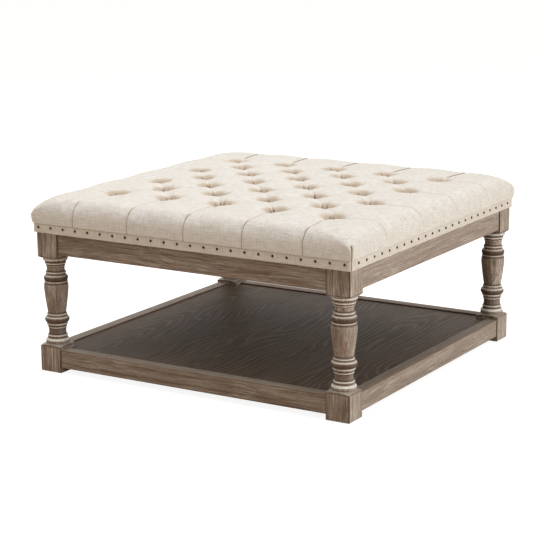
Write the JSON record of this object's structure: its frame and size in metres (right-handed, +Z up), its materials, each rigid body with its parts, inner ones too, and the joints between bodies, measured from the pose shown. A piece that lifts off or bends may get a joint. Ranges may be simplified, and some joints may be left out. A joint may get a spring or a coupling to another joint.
{
  "type": "ottoman coffee table",
  "caption": "Square upholstered ottoman table: diamond-tufted linen cushion with a nailed hem on turned oak legs, with apron rails and a low shelf framed by rails.",
  "frame": {"origin": "centre of the underside, on the floor between the four glides", "axes": "+Z up through the cushion; the front faces -Y and the right side +X; the table is as wide as it is deep, and lower than either"},
  "size_m": [0.972, 0.972, 0.4865],
  "materials": {
    "oak": "grey-brown distressed oak with whitewashed high spots, matt",
    "veneer": "dark grey-brown oak veneer, satin",
    "pine": "plain softwood",
    "plywood": "plain plywood",
    "linen": "oatmeal linen with a slub weave",
    "foam": "foam and padding",
    "twine": "waxed twine",
    "dust_cloth": "thin black cloth",
    "bronze_nail": "dark antiqued bronze",
    "zinc_steel": "zinc-plated steel",
    "nylon": "dark nylon"
  },
  "bodies": {
    "root": {"apron_dowels": "pine", "apron_front": "oak", "apron_left": "oak", "apron_rear": "oak", "apron_right": "oak", "cleat_screws": "zinc_steel", "corner_block_front_left": "pine", "corner_block_front_right": "pine", "corner_block_rear_left": "pine", "corner_block_rear_right": "pine", "corner_block_screws": "zinc_steel", "cover_hem": "linen", "cushion_cover": "linen", "deck_board": "plywood", "deck_screws": "zinc_steel", "deck_slat_left": "pine", "deck_slat_right": "pine", "dust_cover": "dust_cloth", "edge_padding": "foam", "foam_pad": "foam", "foot_glides": "nylon", "frame_screws": "zinc_steel", "hanger_bolts": "zinc_steel", "hanger_nuts": "zinc_steel", "hanger_washers": "zinc_steel", "leg_front_left": "oak", "leg_front_right": "oak", "leg_rear_left": "oak", "leg_rear_right": "oak", "nails_front": "bronze_nail", "nails_left": "bronze_nail", "nails_rear": "bronze_nail", "nails_right": "bronze_nail", "panel_screws": "zinc_steel", "shelf_bearer": "pine", "shelf_cleat_front": "pine", "shelf_cleat_left": "pine", "shelf_cleat_rear": "pine", "shelf_cleat_right": "pine", "shelf_panel": "veneer", "shelf_rail_dowels": "pine", "shelf_rail_front": "oak", "shelf_rail_left": "oak", "shelf_rail_rear": "oak", "shelf_rail_right": "oak", "tie_washers": "zinc_steel", "top_fixing_screws": "zinc_steel", "top_frame_front": "pine", "top_frame_left": "pine", "top_frame_rear": "pine", "top_frame_right": "pine", "tuft_ties": "twine"}
  },
  "joints": []
}
